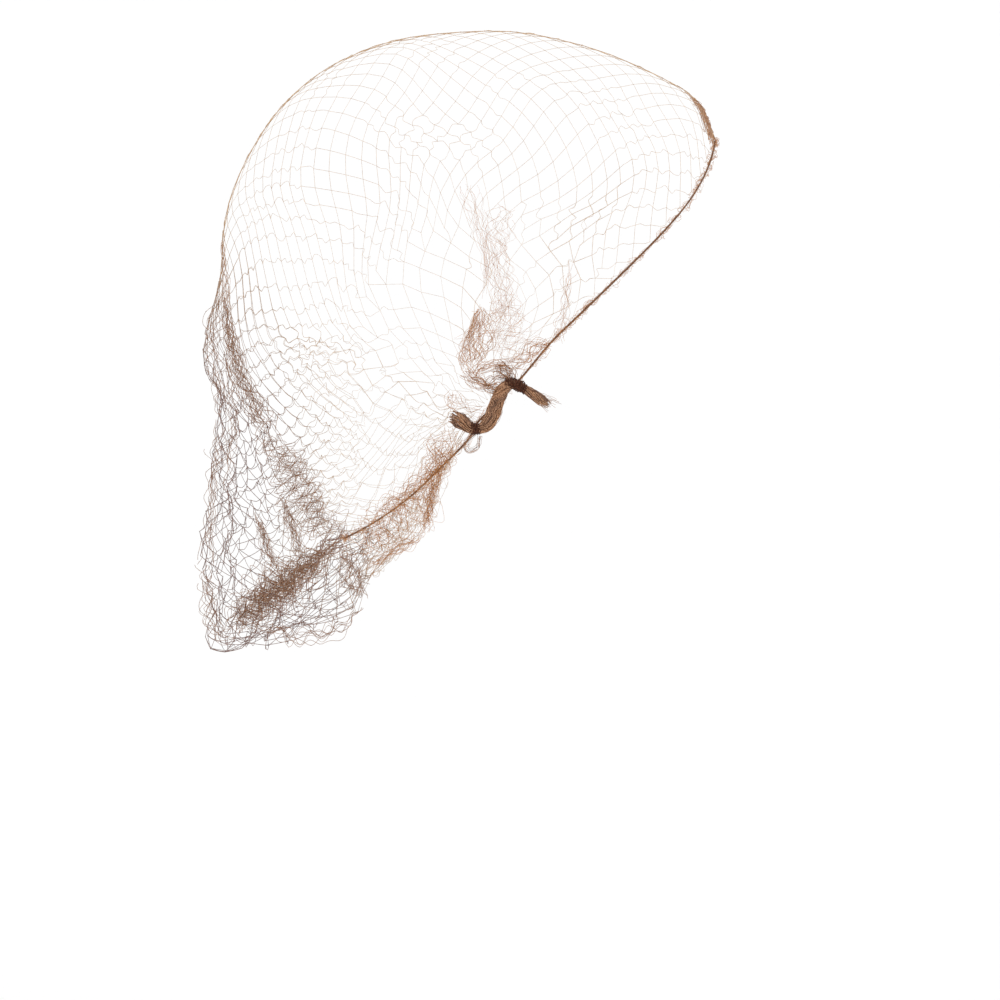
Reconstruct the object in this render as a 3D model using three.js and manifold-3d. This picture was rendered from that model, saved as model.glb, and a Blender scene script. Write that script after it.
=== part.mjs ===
// Hairnet: a coarse net gathered at both sides, with a thin elastic round its edge and a bag of slack net behind.
// Millimetres, +Z up, +X to the front, -Y to the gathered side that is modelled in full.
// The origin is the inside of the crown's top, where the net rests when it is worn.
import * as THREE from 'three';
import { mergeVertices } from 'three/addons/utils/BufferGeometryUtils.js';
import Module from 'manifold-3d';

const wasm = await Module();
wasm.setup();

// Sizes of the net
const crown_reach = 132.7; // from the gather up to the crown's top, to the middle of the wall
const gather_forward = 7.2; // how far the gather lies in front of the crown's top
const half_width = 74; // middle plane to the middle of the wall at the gather
const net_wall = 1.2;
const strand_width = 6.4;
const roundness = 2.4; // exponent of the curve over the crown from side to side, 2 is an ellipse
const upper_tie_rise = 7.4; // upper tie from the gather's centre, along the gather line
const lower_tie_fall = 13.2; // lower tie from there, the other way
const gather_lean = 46; // degrees that the gather line rises to the front
const front_turn = 5.2; // degrees that the front edge climbs on its way to the middle plane
const front_turn_power = 7; // how late it climbs, 1 is an even climb
const nape_back = 56.8; // elastic in the middle of the back, behind the gather
const nape_drop = 50.5; // elastic in the middle of the back, below the gather
const nape_dip = 3; // sag of the elastic between there and the gather
const bag_lap = 2.5; // room between the two layers of the bag where they meet the gather
const nape_narrowing = 9; // the inner layer of the bag lies this much closer to the middle plane

// Sizes of folds
const pleat_depth = 1.3;
const fold_height = 4;
const ruffle_depth = 2.2;
const ruffles_a_side = 3;

// Mesh count: half columns from the front edge to the bag, half rows from the middle to one side
const half_columns = 20;
const half_rows = 6;
const row_growth = 0.24; // how much longer a row is at the side than in the middle
const netted_share = 0.79; // share of the way to the gather that is pierced, the rest is bunched cloth

// Sizes of the cord, the bunch and its ties
const elastic_radius = 0.5;
const seat_gap = 0.3;
const edge_gap = 0.6; // elastic to the net's edge, whose straight facets take up part of it
const bunch_half_width = 2.7;
const bunch_half_depth = 2.4;
const neck_radius = 1.5;
const tie_radius = 2.1;
const tie_length = 3.6;
const tie_turns = 4;
const upper_tuft_length = 11;
const lower_tuft_length = 7.5;
const tuft_lift = 0.9; // the loose ends start this much further out than the bunch's middle
const lock_radius = 0.75;

const net_brown = '#8c6247';
const cord_brown = '#6b4630';
const tie_brown = '#4a3028';

const radians = THREE.MathUtils.degToRad;
const smooth_step = THREE.MathUtils.smoothstep;

// Outline in the middle plane, seen from the side: a reach from the gather for each angle up from the front
const outline = [
  { angle: 42, reach: 0.915 },
  { angle: 51, reach: 0.918 },
  { angle: 54, reach: 0.957 },
  { angle: 60, reach: 0.973 },
  { angle: 72, reach: 0.982 },
  { angle: 84, reach: 0.995 },
  { angle: 96, reach: 1.005 },
  { angle: 108, reach: 1.016 },
  { angle: 120, reach: 1.010 },
  { angle: 132, reach: 0.969 },
  { angle: 144, reach: 0.906 },
  { angle: 156, reach: 0.829 },
  { angle: 168, reach: 0.809 },
  { angle: 180, reach: 0.772 },
  { angle: 188, reach: 0.771 },
  { angle: 196, reach: 0.811 },
  { angle: 204, reach: 0.859 },
  { angle: 211, reach: 0.930 },
];

// Lower edge of the bag: its place behind and below the gather, for each share of spread from the gather to the middle
const bag_hem = [
  { spread: 0, back: 0.085, drop: 0.046 },
  { spread: 0.1, back: 0.130, drop: 0.145 },
  { spread: 0.2, back: 0.165, drop: 0.212 },
  { spread: 0.3, back: 0.182, drop: 0.285 },
  { spread: 0.4, back: 0.200, drop: 0.352 },
  { spread: 0.5, back: 0.271, drop: 0.408 },
  { spread: 0.6, back: 0.352, drop: 0.478 },
  { spread: 0.75, back: 0.430, drop: 0.585 },
  { spread: 0.9, back: 0.600, drop: 0.645 },
  { spread: 1, back: 0.749, drop: 0.668 },
];

// Single folds on one side of the net: where they lie from front edge to hem and from middle to gather,
// their half sizes in the same shares, and their height
const folds = [
  { name: 'flap at the gather', along: 0.30, across: 0.86, half_along: 0.05, half_across: 0.09, height: 0.9 },
  { name: 'ridge at the front', along: 0.10, across: 0.72, half_along: 0.03, half_across: 0.16, height: 0.4 },
  { name: 'bag dent', along: 0.76, across: 0.40, half_along: 0.05, half_across: 0.12, height: -0.7 },
  { name: 'bag fold', along: 0.86, across: 0.30, half_along: 0.06, half_across: 0.09, height: 0.9 },
  { name: 'bag side fold', along: 0.84, across: 0.60, half_along: 0.05, half_across: 0.08, height: 0.8 },
];

// Smooth curve through one column of a table
function read_table(table, key, column, at) {
  const last = table.length - 1;
  let row = 0;
  while (row < last - 1 && table[row + 1][key] < at) row += 1;
  const slope = (k) => {
    const a = table[Math.max(k - 1, 0)];
    const b = table[Math.min(k + 1, last)];
    return (b[column] - a[column]) / (b[key] - a[key]);
  };
  const span = table[row + 1][key] - table[row][key];
  const t = THREE.MathUtils.clamp((at - table[row][key]) / span, 0, 1);
  const rise = table[row + 1][column] - table[row][column];
  const bend_a = slope(row) * span - rise;
  const bend_b = rise - slope(row + 1) * span;
  return table[row][column] + t * rise + t * (1 - t) * ((1 - t) * bend_a + t * bend_b);
}

// Superellipse from the middle plane to the side, as equal shares of its length
const side_curve = (() => {
  const steps = 400;
  const rows = [];
  let length = 0;
  for (let k = 0; k <= steps; k += 1) {
    const turn = (k / steps) ** 2 * Math.PI / 2;
    const spread = Math.max(Math.cos(turn), 0) ** (2 / roundness);
    const side = Math.sin(turn) ** (2 / roundness);
    if (k > 0) {
      const before = rows[k - 1];
      length += Math.hypot((spread - before.spread) * crown_reach, (side - before.side) * half_width);
    }
    rows.push({ length, spread, side });
  }
  for (const row of rows) row.share = row.length / length;
  rows[steps].spread = 0;
  return rows;
})();

function latitude(share) {
  let k = 1;
  while (k < side_curve.length - 1 && side_curve[k].share < share) k += 1;
  const a = side_curve[k - 1];
  const b = side_curve[k];
  const t = THREE.MathUtils.clamp((share - a.share) / (b.share - a.share), 0, 1);
  return { spread: a.spread + t * (b.spread - a.spread), side: a.side + t * (b.side - a.side) };
}

// The gather line in the side view, moved off the bunch's axis by the bunch and a gap
const lean = radians(gather_lean);
const along_gather = new THREE.Vector2(Math.cos(lean), Math.sin(lean));
const off_gather = new THREE.Vector2(-Math.sin(lean), Math.cos(lean));
const gather_offset = bunch_half_width + seat_gap;
const gather_height = net_wall / 2 - crown_reach;
const gather_centre = new THREE.Vector2(gather_forward, gather_height);

function gather_point(share) {
  const top = upper_tie_rise - tie_length / 2;
  const bottom = tie_length / 2 - lower_tie_fall;
  const along = top + share * (bottom - top);
  return gather_centre.clone().addScaledVector(along_gather, along).addScaledVector(off_gather, gather_offset);
}

function outline_point(angle) {
  const reach = read_table(outline, 'angle', 'reach', angle) * crown_reach;
  const turn = radians(angle);
  return gather_centre.clone().add(new THREE.Vector2(Math.cos(turn) * reach, Math.sin(turn) * reach));
}

function hem_point(spread) {
  const back = read_table(bag_hem, 'spread', 'back', spread) * crown_reach;
  const drop = read_table(bag_hem, 'spread', 'drop', spread) * crown_reach;
  return new THREE.Vector2(gather_centre.x - back, gather_centre.y - drop);
}

function nape_point(spread) {
  const start = gather_point(1);
  const nape = new THREE.Vector2(gather_centre.x - nape_back, gather_centre.y - nape_drop);
  const point = start.lerp(nape, spread);
  return point.addScaledVector(off_gather, -nape_dip * 4 * spread * (1 - spread));
}

// One section of the net: front edge, over the crown, down the bag, round its hem and back up to the elastic
const sections = new Map();
const crown_steps = 26;
const bag_start_angle = outline[outline.length - 1].angle;

function section(share) {
  const key = share.toFixed(5);
  if (sections.has(key)) return sections.get(key);
  const { spread, side } = latitude(share);
  const front_angle = gather_lean - 0.5 + front_turn * spread ** front_turn_power;
  const guides = [];
  for (let k = 0; k <= crown_steps; k += 1) {
    const part = k / crown_steps;
    const point = gather_point(part * 0.97);
    point.lerp(outline_point(front_angle + part * (bag_start_angle - front_angle)), spread);
    guides.push(new THREE.Vector3(point.x, -side * half_width, point.y));
  }
  const hem = hem_point(spread);
  const nape = nape_point(spread);
  const inner_side = side * (half_width - bag_lap - nape_narrowing * 4 * side * (1 - side));
  guides.push(new THREE.Vector3(hem.x, -(side * half_width + inner_side) / 2, hem.y));
  guides.push(new THREE.Vector3(nape.x, -inner_side, nape.y));
  const curve = new THREE.CatmullRomCurve3(guides, false, 'centripetal');
  const turn_at = (guides.length - 2) / (guides.length - 1);
  const made = { outer: measured(curve, 0, turn_at, 160), inner: measured(curve, turn_at, 1, 24) };
  sections.set(key, made);
  return made;
}

function measured(curve, from, to, steps) {
  const points = [];
  const lengths = [0];
  for (let k = 0; k <= steps; k += 1) {
    points.push(curve.getPoint(from + (to - from) * k / steps));
    if (k > 0) lengths.push(lengths[k - 1] + points[k].distanceTo(points[k - 1]));
  }
  return { points, lengths };
}

function at_share(line, share) {
  const want = THREE.MathUtils.clamp(share, 0, 1) * line.lengths[line.lengths.length - 1];
  let k = 1;
  while (k < line.lengths.length - 1 && line.lengths[k] < want) k += 1;
  const t = (want - line.lengths[k - 1]) / (line.lengths[k] - line.lengths[k - 1]);
  return line.points[k - 1].clone().lerp(line.points[k], t);
}

// Smooth middle of the wall: along is 0 at the front edge, 1 at the hem, 2 at the elastic of the back;
// across is 0 in the middle plane, 1 at the gather, and below 0 on the far side
function smooth_point(along, across) {
  const made = section(Math.abs(across));
  const point = along <= 1 ? at_share(made.outer, along) : at_share(made.inner, along - 1);
  if (across < 0) point.y = -point.y;
  return point;
}

function smooth_normal(along, across) {
  const step = 0.012;
  const u = along <= 1 ? THREE.MathUtils.clamp(along, 0.02, 0.985) : THREE.MathUtils.clamp(along, 1.06, 1.97);
  const v = THREE.MathUtils.clamp(across, -0.95, 0.95);
  const go_along = smooth_point(u + step, v).sub(smooth_point(u - step, v));
  const go_across = smooth_point(u, v + step).sub(smooth_point(u, v - step));
  return go_along.cross(go_across).normalize();
}

function lift(along, across) {
  const far_along = Math.abs(across);
  const fan = smooth_step(far_along, 0.55, 0.86) * (1 - smooth_step(far_along, 0.92, 1));
  const pleats = pleat_depth * fan * Math.cos(2 * Math.PI * along * half_columns) * (along <= 1 ? 1 : 0);
  const hem = smooth_step(along, 0.8, 1) * (1 - smooth_step(along, 1.5, 2));
  const calm = 1 - smooth_step(far_along, 0.65, 0.88);
  const ruffle = ruffle_depth * hem * calm * Math.cos(2 * Math.PI * ruffles_a_side * far_along / netted_share);
  let single = 0;
  for (const fold of folds) {
    const a = (along - fold.along) / fold.half_along;
    const b = (far_along - fold.across) / fold.half_across;
    single += fold_height * fold.height * Math.exp(-a * a - b * b);
  }
  return pleats + ruffle + (across > 0 ? single : 0);
}

function net_point(along, across) {
  return smooth_point(along, across).addScaledVector(smooth_normal(along, across), lift(along, across));
}

function net_normal(along, across) {
  const step = 0.01;
  const u = along <= 1 ? THREE.MathUtils.clamp(along, 0.012, 0.985) : THREE.MathUtils.clamp(along, 1.04, 1.98);
  const v = THREE.MathUtils.clamp(across, -0.96, 0.96);
  const go_along = net_point(u + step, v).sub(net_point(u - step, v));
  const go_across = net_point(u, v + step).sub(net_point(u, v - step));
  return go_along.cross(go_across).normalize();
}

// Half rows widen from the middle to the side
function row_across(j) {
  const part = Math.abs(j) / half_rows;
  return Math.sign(j) * netted_share * part * (1 - row_growth + row_growth * part * part);
}

// A flat chart of the net, in half columns i and half rows j; rows past the last one run on to the gather
const fan_rows = 4;

function chart_point(i, j) {
  const over = Math.abs(j) - half_rows;
  if (over <= 0) return { along: i / half_columns, across: row_across(j) };
  const across = netted_share + (1 - netted_share) * over / fan_rows;
  return { along: i / half_columns, across: Math.sign(j) * across };
}

class Sheet {
  constructor() {
    this.keys = new Map();
    this.spots = [];
    this.faces = [];
  }

  spot(along, across) {
    const key = `${along.toFixed(6)}|${across.toFixed(6)}`;
    if (!this.keys.has(key)) {
      this.keys.set(key, this.spots.length);
      this.spots.push({ along, across });
    }
    return this.keys.get(key);
  }

  chart_spot(i, j) {
    const place = chart_point(i, j);
    return this.spot(place.along, place.across);
  }

  face(a, b, c) {
    this.faces.push([a, b, c]);
  }

  // A wall of even thickness round the sheet, closed along every free edge
  solid(wall) {
    const count = this.spots.length;
    const vertices = [];
    for (const way of [0.5, -0.5]) {
      for (const { along, across } of this.spots) {
        const point = net_point(along, across).addScaledVector(net_normal(along, across), way * wall);
        vertices.push(point.x, point.y, point.z);
      }
    }
    const indices = [];
    const edges = new Set();
    for (const [a, b, c] of this.faces) {
      indices.push(a, b, c, count + a, count + c, count + b);
      for (const edge of [[a, b], [b, c], [c, a]]) edges.add(edge.join('|'));
    }
    for (const edge of edges) {
      const [a, b] = edge.split('|').map(Number);
      if (!edges.has(`${b}|${a}`)) indices.push(a, count + b, b, a, count + a, count + b);
    }
    return plain_geometry(vertices, indices);
  }
}

function plain_geometry(vertices, indices) {
  const geometry = new THREE.BufferGeometry();
  geometry.setAttribute('position', new THREE.Float32BufferAttribute(vertices, 3));
  geometry.setIndex(indices);
  return geometry;
}

// A cell of the net: the ring between its outline and its gap, or a filled cell
function add_cell(sheet, corners, pierced) {
  const border = [];
  corners.forEach(([i, j], k) => {
    const [next_i, next_j] = corners[(k + 1) % corners.length];
    const parts = 2 * Math.max(Math.abs(next_i - i), Math.abs(next_j - j));
    for (let n = 0; n < parts; n += 1) {
      border.push([i + (next_i - i) * n / parts, j + (next_j - j) * n / parts]);
    }
  });
  const middle = [0, 1].map((axis) => corners.reduce((sum, corner) => sum + corner[axis], 0) / corners.length);
  const rim = border.map(([i, j]) => sheet.chart_spot(i, j));
  if (!pierced) {
    const centre = sheet.chart_spot(...middle);
    rim.forEach((spot, k) => sheet.face(spot, rim[(k + 1) % rim.length], centre));
    return;
  }
  const keep = gap_share(corners, middle);
  const gap = border.map(([i, j]) => {
    return sheet.chart_spot(middle[0] + (i - middle[0]) * keep, middle[1] + (j - middle[1]) * keep);
  });
  rim.forEach((spot, k) => {
    const next = (k + 1) % rim.length;
    sheet.face(spot, rim[next], gap[k]);
    sheet.face(rim[next], gap[next], gap[k]);
  });
}

// Share of a cell that stays open between strands of the given width
function gap_share(corners, middle) {
  const place = ([i, j]) => {
    const { along, across } = chart_point(i, j);
    return smooth_point(along, across);
  };
  const centre = place(middle);
  const near_sides = corners.map((corner, k) => {
    const side = new THREE.Line3(place(corner), place(corners[(k + 1) % corners.length]));
    return side.closestPointToPoint(centre, true, new THREE.Vector3()).distanceTo(centre);
  });
  const half_gap = Math.min(...near_sides);
  return half_gap / (half_gap + strand_width / 2);
}

function make_net() {
  const sheet = new Sheet();
  for (let i = 0; i <= half_columns; i += 1) {
    for (let j = -half_rows; j <= half_rows; j += 1) {
      if ((i + j + half_rows) % 2 !== 0) continue;
      const around = [[i + 1, j], [i, j + 1], [i - 1, j], [i, j - 1]];
      const corners = around.filter(([a, b]) => a >= 0 && a <= half_columns && Math.abs(b) <= half_rows);
      if (corners.length < 3) corners.push([i, j]);
      const on_border = corners.length < 4;
      const at_hem = i === half_columns;
      const at_gather = Math.abs(j) === half_rows;
      add_cell(sheet, in_turn(corners), !(on_border && (at_hem || at_gather)));
    }
  }
  add_fans(sheet);
  add_bag_return(sheet);
  return sheet.solid(net_wall);
}

function in_turn(corners) {
  const middle = [0, 1].map((axis) => corners.reduce((sum, corner) => sum + corner[axis], 0) / corners.length);
  const turn = ([i, j]) => Math.atan2(j - middle[1], i - middle[0]);
  return [...corners].sort((a, b) => turn(a) - turn(b));
}

// Bunched net from the last row of gaps to the gather line, on each side
function add_fans(sheet) {
  for (const side of [-1, 1]) {
    for (let k = 0; k < fan_rows; k += 1) {
      for (let n = 0; n < 2 * half_columns; n += 1) {
        const spots = [[0, 0], [0.5, 0], [0.5, 1], [0, 1]].map(([di, dj]) => {
          return sheet.chart_spot(n / 2 + di, side * (half_rows + k + dj));
        });
        add_quad(sheet, side > 0 ? spots : spots.reverse());
      }
    }
  }
}

// The bag's inner layer, from its hem back up to the elastic
const return_rows = 4;

function add_bag_return(sheet) {
  const stops = [];
  for (let j = -half_rows; j < half_rows; j += 0.5) stops.push(j);
  for (let j = half_rows; j <= half_rows + fan_rows; j += 1) stops.push(j);
  for (let j = half_rows + 1; j <= half_rows + fan_rows; j += 1) stops.unshift(-j);
  const across = stops.map((j) => chart_point(0, j).across);
  for (let row = 0; row < return_rows; row += 1) {
    for (let k = 0; k < across.length - 1; k += 1) {
      const low = 1 + row / return_rows;
      const high = 1 + (row + 1) / return_rows;
      add_quad(sheet, [
        sheet.spot(low, across[k]),
        sheet.spot(high, across[k]),
        sheet.spot(high, across[k + 1]),
        sheet.spot(low, across[k + 1]),
      ]);
    }
  }
}

function add_quad(sheet, [a, b, c, d]) {
  sheet.face(a, b, c);
  sheet.face(a, c, d);
}

// The tie line: where the bunch, its two ties and the elastic behind it lie
const upper_tie_at = upper_tie_rise;
const lower_tie_at = -lower_tie_fall;
const bunch_side = -(half_width + bunch_half_depth / 2);
const elastic_side = bunch_side + bunch_half_depth + seat_gap + elastic_radius;

function tie_line_point(along, side) {
  const place = gather_centre.clone().addScaledVector(along_gather, along);
  return new THREE.Vector3(place.x, side, place.y);
}

// The elastic follows both free edges of the net at a small gap and passes behind the bunch
const edge_stops = 11;
const edge_end = 0.9;

function beyond_edge(edge, inner, across, tuck) {
  const point = net_point(edge, across);
  const away = point.clone().sub(net_point(inner, across)).normalize();
  point.addScaledVector(away, (elastic_radius + edge_gap) * (1 - tuck));
  point.y += tuck * (net_wall / 2 + elastic_radius + edge_gap);
  return point;
}

function make_elastic() {
  const near = [];
  for (let k = 0; k <= edge_stops; k += 1) near.push(beyond_edge(0, 0.02, edge_end * k / edge_stops, 0));
  near.push(tie_line_point(upper_tie_at + tie_length, elastic_side));
  near.push(tie_line_point(upper_tie_at, elastic_side + seat_gap));
  near.push(tie_line_point((upper_tie_at + lower_tie_at) / 2, elastic_side));
  near.push(tie_line_point(lower_tie_at, elastic_side + bag_lap));
  for (let k = edge_stops; k >= 0; k -= 1) {
    const across = edge_end * k / edge_stops;
    near.push(beyond_edge(2, 1.9, across, smooth_step(across, 0.5, 0.8)));
  }
  const far = near.slice(1, -1).reverse().map((point) => new THREE.Vector3(point.x, -point.y, point.z));
  const curve = new THREE.CatmullRomCurve3([...near, ...far], true, 'centripetal');
  return closed_cord(curve, elastic_radius, 130, 6);
}

function closed_cord(curve, radius, steps, sides) {
  const { normals, binormals } = curve.computeFrenetFrames(steps, true);
  const vertices = [];
  const indices = [];
  for (let k = 0; k < steps; k += 1) {
    const centre = curve.getPointAt(k / steps);
    for (let s = 0; s < sides; s += 1) {
      const turn = 2 * Math.PI * s / sides;
      const point = centre.clone();
      point.addScaledVector(normals[k], radius * Math.cos(turn));
      point.addScaledVector(binormals[k], radius * Math.sin(turn));
      vertices.push(point.x, point.y, point.z);
      const next = (s + 1) % sides;
      const here = k * sides;
      const ahead = ((k + 1) % steps) * sides;
      indices.push(here + s, here + next, ahead + next, here + s, ahead + next, ahead + s);
    }
  }
  return plain_geometry(vertices, indices);
}

// A closed body lofted through round or oval sections along a line of stations
function loft(stations, sides) {
  const vertices = [];
  const indices = [];
  stations.forEach(({ place, wide, deep }, k) => {
    const before = stations[Math.max(k - 1, 0)].place;
    const after = stations[Math.min(k + 1, stations.length - 1)].place;
    const forward = after.clone().sub(before).normalize();
    const across = new THREE.Vector3(0, 1, 0).cross(forward).normalize();
    const out = forward.clone().cross(across);
    for (let s = 0; s < sides; s += 1) {
      const turn = 2 * Math.PI * s / sides;
      const point = place.clone();
      point.addScaledVector(across, wide * Math.cos(turn)).addScaledVector(out, deep * Math.sin(turn));
      vertices.push(point.x, point.y, point.z);
    }
  });
  for (let k = 0; k < stations.length - 1; k += 1) {
    for (let s = 0; s < sides; s += 1) {
      const next = (s + 1) % sides;
      const here = k * sides;
      const ahead = here + sides;
      indices.push(here + s, here + next, ahead + next, here + s, ahead + next, ahead + s);
    }
  }
  const last = (stations.length - 1) * sides;
  for (let s = 1; s < sides - 1; s += 1) {
    indices.push(0, s + 1, s, last, last + s, last + s + 1);
  }
  return plain_geometry(vertices, indices);
}

function to_solid(geometry) {
  const bare = geometry.clone();
  bare.deleteAttribute('normal');
  bare.deleteAttribute('uv');
  const merged = mergeVertices(bare, 1e-4);
  const mesh = new wasm.Mesh({
    numProp: 3,
    vertProperties: new Float32Array(merged.attributes.position.array),
    triVerts: new Uint32Array(merged.index.array),
  });
  return new wasm.Manifold(mesh);
}

function to_geometry(solid) {
  const { vertProperties, triVerts } = solid.getMesh();
  return plain_geometry(Array.from(vertProperties), Array.from(triVerts));
}

// Swell of the bunch between its ties, in shares of their distance and of its half sizes; necks lie in the ties
const bunch_swell = [
  { part: 0.14, size: 0.84 },
  { part: 0.32, size: 0.98 },
  { part: 0.5, size: 1 },
  { part: 0.7, size: 0.94 },
  { part: 0.86, size: 0.8 },
];

function bunch_station(along, wide, deep) {
  return { place: tie_line_point(along, bunch_side), wide, deep };
}

function bunch_body() {
  const reach = upper_tie_at - lower_tie_at;
  const stations = [];
  for (const way of [-1.1, -0.5, 0.5]) {
    stations.push(bunch_station(lower_tie_at + way * tie_length, neck_radius, neck_radius));
  }
  for (const { part, size } of bunch_swell) {
    const along = lower_tie_at + part * reach;
    stations.push(bunch_station(along, bunch_half_width * size, bunch_half_depth * size));
  }
  for (const way of [-0.5, 0.5, 1.1]) {
    stations.push(bunch_station(upper_tie_at + way * tie_length, neck_radius, neck_radius));
  }
  return loft(stations, 12);
}

// Loose ends past each tie: a lock for each row, with its turn from the tie line in the side view and its length
const upper_locks = [
  { turn: -66, lean_out: 4, length: 1 },
  { turn: -72, lean_out: 12, length: 1.05 },
  { turn: -58, lean_out: 18, length: 0.8 },
  { turn: -80, lean_out: 8, length: 0.75 },
];
const lower_locks = [
  { turn: -84, lean_out: 32, length: 0.95 },
  { turn: -64, lean_out: 26, length: 1 },
  { turn: -44, lean_out: 32, length: 1.05 },
  { turn: -24, lean_out: 26, length: 0.9 },
  { turn: -4, lean_out: 30, length: 0.7 },
];

function lock(start, heading, length, radius) {
  const stations = [0, 0.3, 0.7, 1].map((part, k) => {
    const size = radius * [0.8, 1, 1.15, 0.7][k];
    return { place: start.clone().addScaledVector(heading, length * part), wide: size, deep: size };
  });
  return loft(stations, 6);
}

function tuft(solid, rows, from, way, length) {
  const start = tie_line_point(from, bunch_side - tuft_lift);
  let joined = solid;
  for (const { turn, lean_out, length: share } of rows) {
    const angle = lean + radians(turn) + (way < 0 ? Math.PI : 0);
    const out = radians(lean_out);
    const heading = new THREE.Vector3(
      Math.cos(angle) * Math.cos(out),
      -Math.sin(out),
      Math.sin(angle) * Math.cos(out),
    );
    joined = joined.add(to_solid(lock(start, heading, length * share, lock_radius)));
  }
  return joined;
}

function make_gathered_end() {
  let solid = to_solid(bunch_body());
  solid = tuft(solid, upper_locks, upper_tie_at + 0.9 * tie_length, 1, upper_tuft_length);
  solid = tuft(solid, lower_locks, lower_tie_at - 0.9 * tie_length, -1, lower_tuft_length);
  return to_geometry(solid);
}

// A tie is thread wound round a neck of the bunch: a sleeve with one ridge for each turn
function make_tie() {
  const bore = neck_radius + seat_gap;
  const profile = [new THREE.Vector2(bore, tie_length / 2), new THREE.Vector2(bore, -tie_length / 2)];
  for (let k = 0; k <= 2 * tie_turns; k += 1) {
    const radius = k % 2 === 1 ? tie_radius + seat_gap : tie_radius;
    profile.push(new THREE.Vector2(radius, tie_length * (k / (2 * tie_turns) - 0.5)));
  }
  profile.push(profile[0].clone());
  return new THREE.LatheGeometry(profile, 16);
}

function material(color, roughness) {
  return new THREE.MeshStandardMaterial({ color, roughness, metalness: 0, side: THREE.DoubleSide });
}

function named(name, geometry, finish) {
  const mesh = new THREE.Mesh(geometry, finish);
  mesh.name = name;
  return mesh;
}

function tie_mesh(name, along) {
  const mesh = named(name, make_tie(), material(tie_brown, 0.75));
  mesh.position.copy(tie_line_point(along, bunch_side));
  const axis = new THREE.Vector3(along_gather.x, 0, along_gather.y);
  mesh.quaternion.setFromUnitVectors(new THREE.Vector3(0, 1, 0), axis);
  return mesh;
}

// The far gather is hidden, so it is one plain bunch of the same size
function make_far_knot() {
  const mirrored = bunch_body();
  mirrored.scale(1, -1, 1);
  const order = mirrored.index.array;
  for (let k = 0; k < order.length; k += 3) [order[k], order[k + 1]] = [order[k + 1], order[k]];
  return mirrored;
}

const hairnet = new THREE.Group();
hairnet.add(named('net', make_net(), material(net_brown, 0.8)));
hairnet.add(named('edge_elastic', make_elastic(), material(cord_brown, 0.7)));
hairnet.add(named('gathered_end', make_gathered_end(), material(net_brown, 0.8)));
hairnet.add(tie_mesh('upper_tie', upper_tie_at));
hairnet.add(tie_mesh('lower_tie', lower_tie_at));
hairnet.add(named('far_knot', make_far_knot(), material(net_brown, 0.8)));

export default hairnet;
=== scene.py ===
# %% [markdown]
# # A hairnet, made thread by thread
# The real thing is one piece of knotted netting, a thin elastic threaded along its edges, and two
# gathered ends that are tied with dark thread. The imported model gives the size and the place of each
# piece. This file dresses it: the pierced wall becomes several thousand fine threads with a knot
# wherever two of them meet.

# %% Load the frame
import math

import bpy
import numpy as np
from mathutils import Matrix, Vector


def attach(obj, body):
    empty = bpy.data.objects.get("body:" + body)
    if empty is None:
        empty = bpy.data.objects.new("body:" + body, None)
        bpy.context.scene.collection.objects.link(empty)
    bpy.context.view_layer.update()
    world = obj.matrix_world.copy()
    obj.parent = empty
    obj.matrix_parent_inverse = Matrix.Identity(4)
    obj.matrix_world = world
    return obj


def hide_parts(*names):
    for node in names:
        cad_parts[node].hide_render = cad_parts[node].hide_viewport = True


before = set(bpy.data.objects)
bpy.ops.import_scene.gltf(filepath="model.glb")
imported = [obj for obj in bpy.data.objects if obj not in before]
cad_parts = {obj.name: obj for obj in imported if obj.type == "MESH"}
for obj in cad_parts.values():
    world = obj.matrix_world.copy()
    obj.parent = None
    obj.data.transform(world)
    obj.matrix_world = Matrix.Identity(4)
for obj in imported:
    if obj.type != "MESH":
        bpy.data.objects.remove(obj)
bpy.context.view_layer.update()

MM = 0.001
print("nodes:", sorted(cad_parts))

# %% [markdown]
# ## The net's own sizes
# All lengths here are in millimetres and become metres at the end. The outline is read from the side: a
# reach from the gather for each angle. It could be drawn as a curve by hand, but a short table is
# easier to correct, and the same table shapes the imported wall, so the threads land where the wall is.
# Only nape_dip is larger here, 6 in place of 3, because the free edge sags more than that wall.

# %% Sizes of the net
crown_reach = 132.7
gather_forward = 7.2
half_width = 74
roundness = 2.4
gather_lean = math.radians(46)
front_turn = 5.2
front_turn_power = 7
nape_back = 56.8
nape_drop = 50.5
nape_dip = 6
bag_lap = 2.5
nape_narrowing = 9
upper_tie_rise = 7.4
lower_tie_fall = 13.2
tie_length = 3.6
bunch_half_width = 2.7
bunch_half_depth = 2.4
seat_gap = 0.3
net_wall = 1.2

outline = np.array([  # degrees up from the front, reach as a share of crown_reach
    (42, 0.915), (51, 0.918), (54, 0.957), (60, 0.973), (72, 0.982), (84, 0.995),
    (96, 1.005), (108, 1.016), (120, 1.010), (132, 0.969), (144, 0.906), (156, 0.829),
    (168, 0.809), (180, 0.772), (188, 0.771), (196, 0.811), (204, 0.859), (211, 0.930),
])
# Spread from the gather to the middle, then how far behind and below the gather, as shares of crown_reach.
bag_hem = np.array([
    (0, 0.085, 0.046), (0.1, 0.130, 0.145), (0.2, 0.165, 0.212), (0.3, 0.182, 0.285), (0.4, 0.200, 0.352),
    (0.5, 0.271, 0.408), (0.6, 0.352, 0.478), (0.75, 0.430, 0.585), (0.9, 0.600, 0.645), (1, 0.749, 0.668),
])

mm_per_pixel = 0.36
frame_pixels = 1000
view_corner = np.array([-480, 0, 33]) * mm_per_pixel
view_middle = view_corner + np.array([frame_pixels / 2, 0, -frame_pixels / 2]) * mm_per_pixel
camera_distance = 15.0  # metres

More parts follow.
